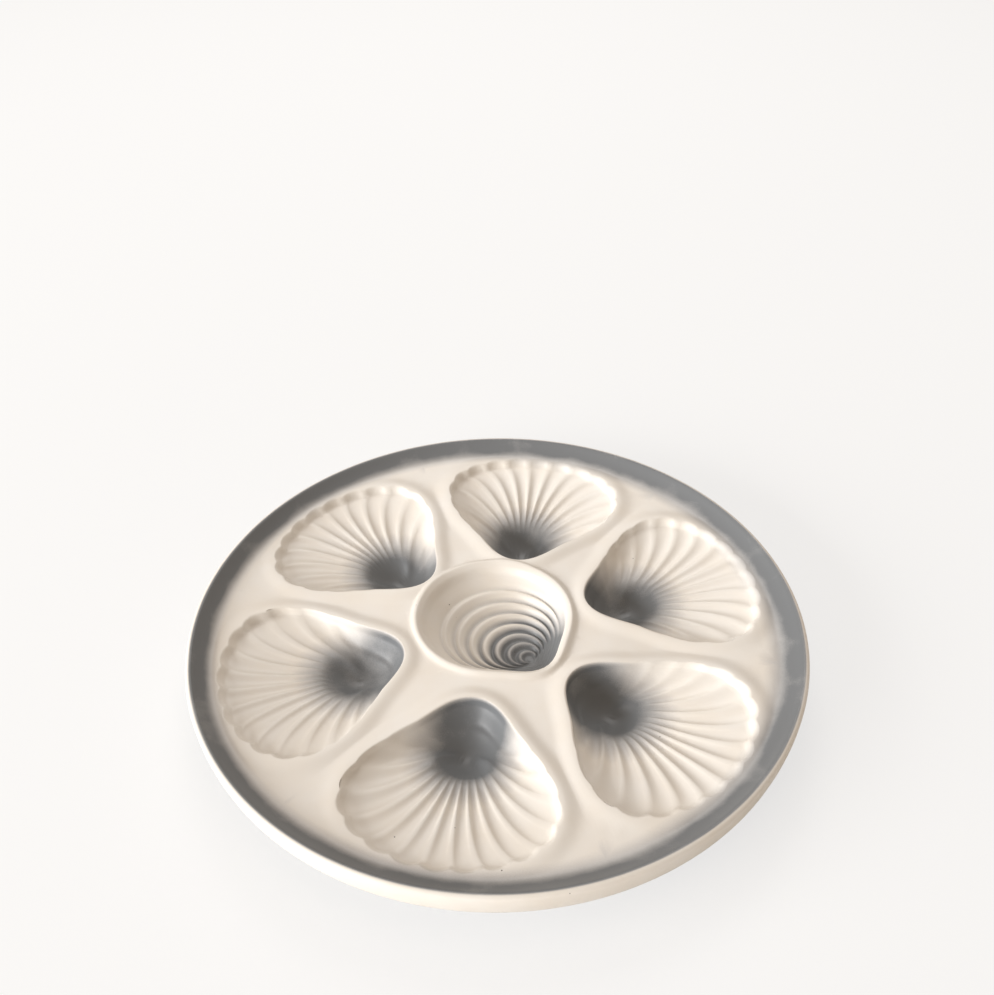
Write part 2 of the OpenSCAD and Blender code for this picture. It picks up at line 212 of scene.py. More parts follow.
class CentreSizes(bpy.types.PropertyGroup):
    """The well in the middle."""

    mouth_r: length("Mouth radius", "Mean radius of the mouth", 29.3 * MM)
    mouth_shift: length("Mouth shift", "How far the mouth lies off the plate's axis", 6.1 * MM)
    shift_angle: angle("Shift direction", "Direction in which it lies off the axis", 115.6)
    corner_h: length("Point", "How far the pointed end stands out of the circle", 5.6 * MM)
    corner_angle: angle("Point direction", "Direction of the pointed end", -39.8)
    corner_spread: angle("Point spread", "Angle over which the point fades", 25)
    beak_x: length("Beak across", "Where the growth ridges meet, to the right", 15.5 * MM)
    beak_y: length("Beak along", "Where the growth ridges meet, to the back", -5 * MM)
    centre_d: length("Depth", "Depth at the beak", 11.5 * MM)
    wall_d: length("Wall", "Depth of the steep wall under the mouth", 7 * MM)
    floor_power: share("Floor power", "Power of the floor's rise from the beak", 1.5)
    wall_power: share("Wall power", "Power of the wall on the longest side", 5)
    least_power: share("Least power", "Power of the wall on the shortest side", 2)
    mouth_blend: share("Mouth blend", "Share of the way out from which the wall eases up", 0.93)
    ridges: IntProperty(name="Ridges", description="Number of growth ridges", default=8)
    ridge_h: length("Ridge height", "Height of the growth ridges", 1.4 * MM)
    ridge_room: length("Ridge room", "Way from beak to mouth from which the ridges are full", 31 * MM)
    ridge_least: share("Least ridge", "Share of their height left where the mouth is near", 0.1)
    ridge_skew: share("Ridge skew", "How much faster the ridges fall than they rise", 0.25)
    ridge_in: share("Ridge start", "Share of the way over which they come in from the beak", 0.12)
    ridge_end: share("Ridge end", "Share of the way over which they are counted", 0.86)
    fade_start: share("Ridge fade", "Share of the way where they begin to fade", 0.8)
    fade_end: share("Ridge fade end", "Share of the way where they have gone", 0.89)
    ridge_power: share("Ridge power", "How the ridges crowd together towards the beak", 1.15)
    bead_h: length("Bead height", "Height of the bead round the mouth", 1.4 * MM)
    bead_in: length("Bead start", "From the mouth in to where the bead begins", 1.32 * MM)
    bead_w: length("Bead crest", "From the mouth to the crest of the bead", 2.2 * MM)
    bead_patch: length("Bead patch", "From the mouth to where the shells' own patches end", 3.4 * MM)
    bead_fade: length("Bead fade", "From the mouth to where the bead has gone", 4.8 * MM)


class GlazeColours(bpy.types.PropertyGroup):
    """Colours and patterns of the glaze and of the bare clay. The sprayed drops and the clay's grit
    are drawn two or three times as coarse as real ones, so that they show."""

    glaze: colour("Glaze", "Tin glaze over pale clay", "#F4F2EE")
    glaze_warm: colour("Warm glaze", "Where the glaze lies thin and the clay warms it", "#EFE7DB")
    spray: colour("Spray", "Grey sprayed into the glaze", "#787B7E")
    spray_cool: colour("Cool spray", "The same grey where it lies thin", "#9597A0")
    speck: colour("Specks", "Iron specks in the glaze", "#4E463E")
    clay: colour("Clay", "Biscuit-fired earthenware", "#E2CFB4")
    clay_dust: colour("Clay dust", "Clay that handling has darkened", "#C4A988")
    cloud_w: length("Clouds", "Width of the warmer and cooler patches", 16.67 * MM)
    cloud_cover: share("Cloud cover", "How much those patches vary the grey", 0.6)
    drop_w: length("Drops", "Width of the sprayed drops", 0.4545 * MM)
    drop_cover: share("Drop cover", "How much the drops vary the grey", 0.12)
    cover_start: share("Cover start", "Amount of spray from which grey shows", 0.08)
    cover_full: share("Cover full", "Amount of spray at which it hides the glaze", 0.95)
    speck_gap: length("Speck gap", "Side of the cells in which a speck may lie", 3.846 * MM)
    speck_rare: share("Speck rarity", "Share of those cells that hold none", 0.975)
    speck_core: share("Speck core", "Share of the gap within which a speck is dark", 0.04)
    speck_edge: share("Speck edge", "Share of the gap at which it ends", 0.08)
    peel_w: length("Orange peel", "Width of the swells in the glaze", 3.846 * MM)
    peel_h: length("Peel height", "Height of those swells", 0.2 * MM)
    dust_w: length("Dust", "Width of the clay's darker patches", 6.667 * MM)
    grit_w: length("Grit", "Width of the clay's grains", 0.5556 * MM)
    grit_h: length("Grit height", "Height of those grains", 0.1 * MM)


class SpraySizes(bpy.types.PropertyGroup):
    """Where the grey was sprayed into the glaze, and how it fades."""

    rim_spray: length("Rim spray", "Width of the sprayed band inside the lip", 7.5 * MM)
    rim_fade: length("Rim fade", "Mean width over which that band fades", 10 * MM)
    rim_full: length("Rim full", "How far within the band its grey is full", 2 * MM)
    rim_swell: share("Rim swell", "How much wider than the mean it fades on one side", 0.35)
    swell_angle: angle("Swell direction", "Direction of that side, a little behind the right", 15)
    rim_power: share("Rim power", "How late across its fade the band comes in", 1.5)
    lip_start: length("Lip start", "From the outside to where the band begins to end", 1.9 * MM)
    lip_end: length("Lip end", "From the outside to where it has ended", 1 * MM)
    core_shift: length("Cloud shift", "How far a shell's cloud lies outward of its hub", 2 * MM)
    core_r: length("Cloud", "Radius within which that cloud is full", 7 * MM)
    core_fade: length("Cloud fade", "Radius at which it has faded", 26 * MM)
    flute_run: length("Flute run", "How much further the grey runs out along the flutes", 3 * MM)
    hinge_cover: share("Hinge cover", "How much grey lies on the hinge end", 0.95)
    hinge_in: length("Hinge start", "From the cloud's middle back to where that is full", 6 * MM)
    hinge_w: length("Hinge width", "How far off the axis it is full", 9 * MM)
    hinge_fade: length("Hinge fade", "How far off the axis it has faded", 24 * MM)
    edge_out: length("Edge out", "How far outside a shell's outline its grey ends", 0.3 * MM)
    edge_in: length("Edge in", "How far inside the outline it begins to end", 0.7 * MM)
    mouth_in: length("Mouth in", "How far inside the mouth the centre's grey begins to end", 1 * MM)
    beak_r: length("Beak cloud", "Radius within which the cloud at the beak is full", 7 * MM)
    beak_fade: length("Beak fade", "Radius at which it has faded", 28 * MM)
    groove_cover: share("Groove cover", "How much grey the grooves gain and the crests lose", 0.9)
    groove_level: share("Groove level", "Share of the way down into a groove with neither", 0.35)
    groove_r: length("Groove reach", "From the beak to where that begins to fade", 20 * MM)
    groove_fade: length("Groove fade", "From the beak to where it has gone", 52 * MM)
    foot_clear: length("Clear foot", "Height over the unground foot that has no grey", 3 * MM)


class StudioSettings(bpy.types.PropertyGroup):
    """The camera, fitted to the photograph, the light and the floor."""

    image_w: IntProperty(name="Image width", description="Width of the image in pixels", default=994)
    focal_px: FloatProperty(name="Focal length", description="Focal length in pixels", default=1060.12)
    distance: length("Distance", "From the camera to the centre of the rim's circle", 428.1 * MM)
    elevation: angle("Elevation", "Height of the camera over the rim's plane", 45.67)
    azimuth: angle("Azimuth", "Turn of the camera round the plate", 11.93)
    yaw: angle("Yaw", "Turn of the view to the left", -0.11)
    pitch: angle("Pitch", "Lift of the view above the rim's centre", 6.41)
    roll: angle("Roll", "Turn of the view about its own line", 0.89)
    window: position("Window", "Middle of the window that lights the plate", (-2.25, -1.8, 0.9))
    window_w: length("Window width", "Width of that window", 2.8)
    window_h: length("Window height", "Height of that window", 1.3)
    window_power: power("Window power", "Power of its light", 120)
    back_window: position("Back window", "Middle of the window behind", (-0.24, 1.08, 1.15))
    back_side: length("Back window side", "Side of that window", 0.7)
    back_power: power("Back window power", "Power of its light", 6)
    room_strength: share("Room strength", "How bright the room's own light is", 0.41)
    room_light: colour("Room light", "Light that the room throws back", "#FFEDDA")
    floor: colour("Floor", "Pale floor", "#F4F3F1")
    backdrop: colour("Backdrop", "White towards which the camera sees the floor", "#FFFFFF")
    floor_lift: share("Floor lift", "How far the camera sees the floor as that white", 0.7)
    floor_size: length("Floor size", "Side of the floor", 4)


def over_fan(angles, knee, sizes):
    """1 over the fan, falling to 0 round the hinge: one over one plus the angle over the knee, to a
    power."""
    return 1 / (1 + (np.abs(angles) / knee) ** sizes.draw_power)


def reach(angles, sizes):
    """The smooth outline: the hinge's reach, rising to the fan's reach by the fan's weight, with a
    bell-shaped point at the hinge end."""
    hinge = sizes.hinge_reach - sizes.hinge_point
    off = np.abs(np.mod(angles, 2 * math.pi) - math.pi)
    weight = over_fan(math.pi - off, sizes.shoulder, sizes)
    point = sizes.hinge_point * np.exp(-((off / sizes.point_spread) ** 2))
    return hinge + (sizes.fan_reach - hinge) * weight + point


def fan_angle(steps, sizes):
    """Angle of a step off the fan's axis: half a flute each, and wider by a square at the flanks."""
    wider = np.maximum(0, steps - EVEN_STEPS) / 2
    return steps * sizes.flute_pitch / 2 + sizes.flute_widen * wider**2


def column_angles(steps, sizes):
    """Angle of a column about the hub: steps of half a flute over the fan, then even steps round the
    hinge, all turned by an amount that falls as a squared cosine."""
    size = np.abs(steps)
    fan = np.minimum(size, FLUTES)
    hinge_step = (math.pi - fan_angle(FLUTES, sizes)) / (HALF_TURN_STEPS - FLUTES)
    angles = np.sign(steps) * (fan_angle(fan, sizes) + (size - fan) * hinge_step)
    return angles + sizes.flute_turn * np.cos(angles / 2) ** 2


def flute_wave(steps, sizes):
    """0 on a crest and 1 on a flute's floor: one minus a power of the way across from the middle, mixed
    with a cosine where the glaze rounds the crest. A flute is two steps wide with its crests on the
    even ones."""
    across = np.mod(steps, 2) - 1
    hollow = 1 - np.abs(across) ** sizes.flute_power
    swell = (1 + np.cos(math.pi * across)) / 2
    wave = (1 - sizes.crest_soft) * hollow + sizes.crest_soft * swell
    return np.where(np.abs(steps) <= FLUTES, wave, 0)


def smooth(value, low, high):
    """0 below low and 1 above high, with an easing cubic between."""
    way = np.clip((value - low) / (high - low), 0, 1)
    return way * way * (3 - 2 * way)


def beyond(start, end, count):
    """That many even steps from the start to the end, without the start itself."""
    return np.linspace(start, end, count + 1)[1:]


def soft_plus(value, width):
    """The larger of value and 0, rounded over the width by a hyperbola."""
    return (value + np.sqrt(value * value + width * width)) / 2


def shell_depth(shares, angles, sizes):
    """Depth below the field at a share of the reach. Over the fan it falls evenly from throat to edge,
    with a bowl shaped as a parabola inside the throat, its edge rounded; round the hinge it is one
    minus a power."""
    slope = sizes.edge_d + (sizes.throat_d - sizes.edge_d) * (1 - shares)
    rounding = 2 * sizes.throat_soft / sizes.throat_share
    bowl = soft_plus(1 - (shares / sizes.throat_share) ** 2, rounding)
    fan = slope + (sizes.bowl_d - sizes.throat_d) * bowl / (1 + 0.5 * sizes.throat_soft)
    hinge = sizes.bowl_d * (1 - shares**sizes.hinge_power)
    return hinge + (fan - hinge) * over_fan(angles, sizes.flank, sizes)


def hinge_groove(shares, angles, sizes):
    """Depth of the soft groove that runs round inside the hinge end: an easing cubic down and another
    up along the reach."""
    inner = smooth(shares, sizes.groove_start, sizes.groove_deep)
    outer = smooth(shares, sizes.groove_deep, sizes.groove_end)
    return sizes.groove_d * (inner - outer) * (1 - over_fan(angles, sizes.flank, sizes))


def mouth(angles, centre):
    """Radius of the centre well's mouth: a circle moved off the axis, with one bell-shaped point."""
    off = np.mod(angles - centre.corner_angle + math.pi, 2 * math.pi) - math.pi
    point = centre.corner_h * np.exp(-((off / centre.corner_spread) ** 2))
    return centre.mouth_r + centre.mouth_shift * np.cos(angles - centre.shift_angle) + point


def bump(distance, start, crest, fade):
    """A rounded ridge: an easing cubic up to 1 at its crest and another down to 0 where it fades."""
    return np.where(distance < crest, smooth(distance, start, crest), 1 - smooth(distance, crest, fade))


def polar(radius, angles):
    """Points at a radius and an angle, stacked on the last axis."""
    return np.stack([radius * np.cos(angles), radius * np.sin(angles)], axis=-1)


def turned(points, turn):
    """Points turned about the plate's axis."""
    c, s = math.cos(turn), math.sin(turn)
    return points @ np.array([[c, s], [-s, c]])


class Form:
    """The sizes at hand, and the heights of the face and the underside worked out from them."""

    def __init__(self, scene):
        self.plate, self.shell, self.centre = scene.plate_sizes, scene.shell_sizes, scene.centre_sizes
        plate, shell = self.plate, self.shell
        self.field_z = plate.rim_z - plate.rim_rise
        self.under_z = self.field_z - plate.base_t
        self.foot_line = plate.plate_r - plate.rim_w
        self.hub_r = self.foot_line - shell.fan_reach
        self.lip = (plate.plate_r - plate.lip_r, plate.rim_z - plate.lip_r)
        self.slope_top = (
            self.lip[0] + plate.lip_r * math.cos(plate.lip_join),
            self.lip[1] + plate.lip_r * math.sin(plate.lip_join),
        )
        self.beak = np.array([self.centre.beak_x, self.centre.beak_y])

    def about_hub(self, points, turn=0):
        """Radius and angle of points about the hub of the shell whose sector they lie in, or of the one
        that many sectors on."""
        angles = np.arctan2(points[..., 1], points[..., 0]) - FRONT
        off = angles - SECTOR * (np.round(angles / SECTOR) + turn)
        local = polar(np.hypot(points[..., 0], points[..., 1]), off) - [self.hub_r, 0]
        return np.hypot(local[..., 0], local[..., 1]), np.arctan2(local[..., 1], local[..., 0])

    def past_shell(self, points, turn=0):
        """How far points lie outside a shell's smooth outline: the way along the hub's ray times the
        cosine of the angle between that ray and the outline's normal."""
        radius, angles = self.about_hub(points, turn)
        step = math.radians(1)
        edge = reach(angles, self.shell)
        growth = (reach(angles + step, self.shell) - reach(angles - step, self.shell)) / (2 * step)
        return (radius - edge) / np.sqrt(1 + (growth / edge) ** 2)

    def border(self, points, turn):
        """Height of the border round one shell: level beside the edge, then an easing cubic down, and
        lower round the fan's end."""
        shell = self.shell
        angles = self.about_hub(points, turn)[1]
        height = shell.border_h * (1 - shell.border_fall * over_fan(angles, shell.border_knee, shell))
        away = self.past_shell(points, turn)
        return height * (1 - smooth(away, shell.border_w, shell.border_fade))

    def land(self, points):
        """Height of the face between the wells: the root of the summed squares of the shells' borders,
        the bead round the centre well and the rim's slope, which rises as a power of the way up it. The
        borders of neighbours are joined by the fourth root of their summed fourth powers."""
        centre, plate = self.centre, self.plate
        radius = np.hypot(points[..., 0], points[..., 1])
        angles = np.arctan2(points[..., 1], points[..., 0])
        border = sum(self.border(points, turn) ** 4 for turn in (-1, 0, 1)) ** 0.25
        off_mouth = radius - mouth(angles, centre)
        bead = centre.bead_h * bump(off_mouth, -centre.bead_in, centre.bead_w, centre.bead_fade)
        way = np.clip((radius - self.foot_line) / (self.slope_top[0] - self.foot_line), 0, 1)
        outward = smooth(radius, plate.valley_r, self.foot_line)
        inward = smooth(plate.valley_r - radius, 0, plate.valley_r - plate.inner_r)
        base = plate.outer_lift * outward + plate.inner_lift * inward
        slope = (self.slope_top[1] - self.field_z - plate.outer_lift) * way**plate.slope_power
        return self.field_z + base + np.sqrt(border**2 + bead**2 + slope**2)


def way_from_hub(form, radius):
    """Angle about the hub, off the shell's axis, of a point on the line between two sectors."""
    return np.arctan2(radius * math.sin(SECTOR / 2), radius * math.cos(SECTOR / 2) - form.hub_r)


def waisted(near, far):
    """How far the centre's patch goes past the mouth: near beside a shell's hinge end and far between
    two shells, eased by a squared sine."""
    return lambda angles: near + (far - near) * np.sin(math.pi * angles / SECTOR) ** 2


def bead_room(form):
    """How far the face's centre patch goes past the mouth."""
    return waisted(form.centre.bead_patch, form.centre.bead_fade)


def under_room(form):
    """How far the underside's centre patch goes past the mouth."""
    return waisted(form.plate.under_waist * form.plate.under_grow, form.plate.under_grow)


def sector_border(form, steps, turn, outer_r, inner_grow):
    """The edge of a shell's sector, one point a column: an arc outside, a straight line to each side
    where rays from the hub meet it at even angles, and a stretch round the centre well inside."""
    size = np.abs(steps)
    arc = steps * SECTOR / (2 * CORNER_STEP)
    back = np.sign(steps) * (HALF_TURN_STEPS - size) * SECTOR / MOUTH_STEPS
    inner = mouth(turn + np.sign(steps) * SECTOR / 2, form.centre) + inner_grow(SECTOR / 2)
    first = way_from_hub(form, outer_r(SECTOR / 2))
    along = (size - CORNER_STEP) / (FLUTES + INNER_CORNER_STEP - CORNER_STEP)
    way = first + (way_from_hub(form, inner) - first) * np.clip(along, 0, 1)
    line_r = form.hub_r * np.sin(way) / np.sin(way - SECTOR / 2)
    on_line = (size > CORNER_STEP) & (size < FLUTES + INNER_CORNER_STEP)
    on_arc = size <= CORNER_STEP
    angles = np.where(on_arc, arc, np.where(on_line, np.sign(steps) * SECTOR / 2, back))
    arc_r = outer_r(angles)
    back_r = mouth(turn + back, form.centre) + inner_grow(back)
    radius = np.where(on_arc, arc_r, np.where(on_line, line_r, back_r))
    return polar(radius, angles)


def slope_foot(form):
    """Radius where the rim's own patch begins, further out by a squared cosine at each shell's end."""
    out = form.plate.slope_in
    return lambda angles: form.foot_line + out * np.cos(math.pi * angles / SECTOR) ** 2


def heel_foot(form):
    """Radius where the heel's circle meets the flat underside, the same all round."""
    radius = form.plate.plate_r - form.plate.wall_draft - form.plate.heel_r
    return lambda angles: np.full_like(angles, radius)


def column_steps(fine):
    """The columns of a shell's patch, from behind the hub right round it, with fine columns a step."""
    return np.arange(-HALF_TURN_STEPS * fine, HALF_TURN_STEPS * fine) / fine


def flared(edge, ways, shell):
    """Points on the flutes' curved lines, which leave a place behind the hub: outward as one minus a
    power of the way left, and sideways as a power of the way gone, so that they spread at the edge."""
    x = -shell.flare_x + (edge[:, 0] + shell.flare_x) * (1 - (1 - ways) ** shell.axial_power)
    return np.stack([x, edge[:, 1] * ways**shell.lateral_power], axis=-1)


def shell_patch(form, turn, fine):
    """The face of one sector. Rows go out along the flutes' lines to the foot of the end wall, up that
    wall to the lobed outline by an easing cubic, then over the land to the sector's border; columns
    go round the hub. The flutes lose depth by the cube of the way out."""
    shell = form.shell
    steps = column_steps(fine)
    angles = column_angles(steps, shell)
    wave = flute_wave(steps, shell)
    lobes = over_fan(angles, shell.flank, shell) * (1 - smooth(np.abs(steps), FLUTES, FLUTES + 1))
    outline = reach(angles, shell) + shell.lobe_h * (wave - 0.5) * lobes
    edge = polar(outline, angles)
    ways = (np.linspace(0, 1, FLOOR_ROWS) ** FLOOR_CROWD)[:, None]
    floor = flared(edge * shell.edge_share, ways, shell)
    wall_ways = beyond(0, 1, WALL_ROWS)[:, None, None]
    wall = edge * (shell.edge_share + (1 - shell.edge_share) * wall_ways)
    well = np.concatenate([floor, wall])
    ways = np.concatenate([ways, np.ones((len(wall), 1))])
    radius, around = np.hypot(well[..., 0], well[..., 1]), np.arctan2(well[..., 1], well[..., 0])
    ramp = smooth(radius, shell.flute_start, shell.flute_full) * (1 - shell.flute_fall * ways**3)
    shares = np.minimum(1, radius / reach(around, shell))
    depth = shell_depth(shares, around, shell) + hinge_groove(shares, around, shell)
    heights = form.field_z - depth - shell.flute_d * ramp * wave
    edge = turned(edge + [form.hub_r, 0], FRONT + turn)
    climb = smooth(np.concatenate([np.zeros(len(floor)), wall_ways.ravel()]), 0, 1)[:, None]
    heights = heights + (form.land(edge) - heights) * climb
    border = sector_border(form, steps, FRONT + turn, slope_foot(form), bead_room(form))
    land_ways = (beyond(0, 1, LAND_ROWS) ** LAND_CROWD)[:, None, None]
    land = edge + (turned(border, FRONT + turn) - edge) * land_ways
    places = np.concatenate([turned(well + [form.hub_r, 0], FRONT + turn), land])
    heights = np.concatenate([heights, form.land(land)])
    flutes = np.concatenate([ramp * wave, np.zeros(land.shape[:2])])
    return np.concatenate([places, heights[..., None], flutes[..., None]], axis=-1)


def centre_shape(form, shares, angles):
    """Depth of the centre well: a steep wall, one minus a power that grows with the way from beak to
    mouth, on a floor that rises as another power of that way."""
    centre = form.centre
    way = np.linalg.norm(polar(mouth(angles, centre), angles) - form.beak, axis=-1)
    power = np.maximum(centre.least_power, centre.wall_power * way / (2 * centre.mouth_r))
    wall = centre.wall_d * (1 - shares**power)
    return wall + (centre.centre_d - centre.wall_d) * (1 - shares**centre.floor_power)


def growth_ridges(form, shares, way):
    """Stepped ridges round the beak: a skewed sine of the way out, each rising slowly and falling fast
    towards the beak, faded in from the beak, out below the wall and where the mouth is near."""
    centre = form.centre
    turns = 2 * math.pi * centre.ridges * (shares / centre.ridge_end) ** (1 / centre.ridge_power)
    wave = np.sin(turns - centre.ridge_skew * np.sin(turns))
    come_in = smooth(shares, 0, centre.ridge_in)
    fade = 1 - smooth(shares, centre.fade_start, centre.fade_end)
    room = smooth(way, centre.ridge_room / 2, centre.ridge_room)
    room = centre.ridge_least + (1 - centre.ridge_least) * room
    return centre.ridge_h / 2 * wave * come_in * fade * room


def mouth_angles(fine):
    """Directions of the columns round the centre well."""
    count = SHELLS * MOUTH_STEPS * fine
    return FRONT - SECTOR / 2 + np.arange(count) * 2 * math.pi / count


def centre_patch(form, fine):
    """The centre well. Rows go out from the beak to the mouth, where the wall eases up by a squared
    cubic, then over the bead."""
    angles = mouth_angles(fine)
    closer = beyond(CLOSER_SHARE, 1, CENTRE_WALL_ROWS)
    shares = np.concatenate([np.linspace(0, CLOSER_SHARE, CENTRE_ROWS), closer])[:, None]
    edge = polar(mouth(angles, form.centre), angles)
    well = form.beak + (edge - form.beak) * shares[..., None]
    way = np.linalg.norm(edge - form.beak, axis=-1)
    ridges = growth_ridges(form, shares, way)
    floor = form.field_z - centre_shape(form, shares, angles) + ridges
    heights = floor + (form.land(edge) - floor) * smooth(shares, form.centre.mouth_blend, 1) ** 2
    grow = bead_room(form)(angles - FRONT)
    bead = polar(mouth(angles, form.centre) + grow * beyond(0, 1, BEAD_ROWS)[:, None], angles)
    places = np.concatenate([well, bead])
    heights = np.concatenate([heights, form.land(bead)])
    grooves = np.concatenate([0.5 - ridges / form.centre.ridge_h, np.zeros(bead.shape[:2])])
    return np.concatenate([places, heights[..., None], grooves[..., None]], axis=-1)


def rim_patch(form, fine, inset):
    """The rim. Rows go up its inner slope, round the lip's circle, down the outer wall and round the
    heel's circle; the inset moves each row against its normal."""
    plate = form.plate
    count = SHELLS * 2 * CORNER_STEP * fine
    angles = FRONT - SECTOR / 2 + np.arange(count) * 2 * math.pi / count
    off = angles - FRONT - SECTOR * np.round((angles - FRONT) / SECTOR)
    ways = np.linspace(0, 1, SLOPE_ROWS)[:, None]
    slope_r = slope_foot(form)(off) * (1 - ways) + form.slope_top[0] * ways
    slope_z = form.land(polar(slope_r, angles)) - inset
    over = beyond(plate.lip_join, 0, LIP_ROWS)[:, None]
    lip_r = form.lip[0] + plate.lip_r * np.cos(over) - inset * np.clip(np.cos(over), 0, 1)
    lip_z = form.lip[1] + plate.lip_r * np.sin(over) - inset * np.sin(np.minimum(over, math.pi / 2))
    down = beyond(0, 1, OUTSIDE_ROWS)[:, None]
    wall_r = plate.plate_r - plate.wall_draft * down**2 - inset
    wall_z = form.lip[1] + (form.under_z + plate.heel_r - form.lip[1]) * down
    under = beyond(0, math.pi / 2, HEEL_ROWS)[:, None]
    heel_r = heel_foot(form)(angles) + (plate.heel_r - inset) * np.cos(under)
    heel_z = form.under_z + plate.heel_r - (plate.heel_r - inset) * np.sin(under)
    radius = np.concatenate([slope_r] + [r * np.ones_like(angles) for r in (lip_r, wall_r, heel_r)])
    heights = np.concatenate([slope_z] + [z * np.ones_like(angles) for z in (lip_z, wall_z, heel_z)])
    return np.concatenate([polar(radius, angles), heights[..., None]], axis=-1)


def under_depth(form, shares, angles):
    """Depth of the underside's bulge under a shell, at a share of the way from the foot's flat to the
    outline: the shell's own depth, faded out by an easing cubic at the end."""
    return shell_depth(shares, angles, form.shell) * (1 - smooth(shares, form.plate.under_fade, 1))


def pad_share(form, angles, level):
    """Share at which the bulge passes a level, found by halving."""
    low, high = np.zeros_like(angles), np.full_like(angles, form.plate.under_fade)
    for _ in range(HALVINGS):
        middle = (low + high) / 2
        deep = under_depth(form, middle, angles) > level
        low, high = np.where(deep, middle, low), np.where(deep, high, middle)
    return low


def under_patch(form, turn, fine, inset):
    """The underside of one sector. Rows go out from the ground pad under the bowl, whose edge lies on
    the table, up the bulge that follows the well at an even wall, then over the flat to the sector's
    border."""
    shell, plate = form.shell, form.plate
    steps = column_steps(fine)
    angles = column_angles(steps, shell)
    start = pad_share(form, angles, form.under_z + inset)
    shares = start + (1 - start) * (np.linspace(0, 1, BULGE_ROWS) ** BULGE_CROWD)[:, None]
    border = sector_border(form, steps, FRONT + turn, heel_foot(form), under_room(form))
    full = reach(angles, shell) + plate.under_grow
    bulge = polar(plate.foot_r + (full - plate.foot_r) * shares, angles) + [form.hub_r, 0]
    flat = bulge[-1] + (border - bulge[-1]) * beyond(0, 1, FLAT_ROWS)[:, None, None]
    places = turned(np.concatenate([bulge, flat]), FRONT + turn)
    heights = form.under_z + inset - under_depth(form, shares, angles)
    heights[0] = 0
    heights = np.concatenate([heights, np.full((FLAT_ROWS, len(steps)), form.under_z + inset)])
    return np.concatenate([places, heights[..., None]], axis=-1)


def under_centre_patch(form, fine, inset):
    """The underside of the centre well, which follows it at an even wall."""
    angles = mouth_angles(fine)
    shares = np.linspace(0, 1, UNDER_CENTRE_ROWS)[:, None]
    edge = polar(mouth(angles, form.centre) + under_room(form)(angles - FRONT), angles)
    places = form.beak + (edge - form.beak) * shares[..., None]
    heights = form.under_z + inset - centre_shape(form, shares, angles)
    return np.concatenate([places, heights[..., None]], axis=-1)


def grid_faces(rows, columns, outward):
    """Two triangles for each cell of a grid that closes on itself along its columns."""
    i, j = np.meshgrid(np.arange(rows - 1), np.arange(columns), indexing="ij")
    a, b = i * columns + j, i * columns + (j + 1) % columns
    c, d = b + columns, a + columns
    cells = np.stack([a, c, b, a, d, c] if outward else [a, b, c, a, c, d], axis=-1)
    return cells.reshape(-1, 3)


def joined(grids):
    """One list of points and one of triangles from (grid, outward) pairs, with the points that the
    grids share made one and the triangles that this closes up left out. A point's fourth number is
    how far down it lies in a flute or groove, and 0 in the grids that leave it out."""
    points, faces, start = [], [], 0
    for grid, outward in grids:
        faces.append(grid_faces(grid.shape[0], grid.shape[1], outward) + start)
        flat = grid.reshape(-1, grid.shape[2])
        points.append(np.pad(flat, ((0, 0), (0, 4 - flat.shape[1]))))
        start += grid.shape[0] * grid.shape[1]
    points, faces = np.concatenate(points), np.concatenate(faces)
    cells = np.round(points[:, :3] / SAME_POINT)
    _, first, same = np.unique(cells, axis=0, return_index=True, return_inverse=True)
    faces = same.reshape(-1)[faces]
    keep = (faces[:, 0] != faces[:, 1]) & (faces[:, 1] != faces[:, 2]) & (faces[:, 2] != faces[:, 0])
    return points[first], faces[keep]


def skin(form, fine, inset, outward):
    """The plate's whole surface, drawn in by the inset and open at the ground pads, as grids."""
    grids = [(shell_patch(form, k * SECTOR, fine) - [0, 0, inset, 0], outward) for k in range(SHELLS)]
    grids.append((centre_patch(form, fine) - [0, 0, inset, 0], outward))
    grids.append((rim_patch(form, fine, inset), outward))
    grids += [(under_patch(form, k * SECTOR, fine, inset), not outward) for k in range(SHELLS)]
    grids.append((under_centre_patch(form, fine, inset), not outward))
    return grids


def pad_ring(form, turn, fine, inset):
    """The edge of one ground pad, where the skin that is drawn in by the inset meets the table."""
    return under_patch(form, turn, fine, inset)[0]


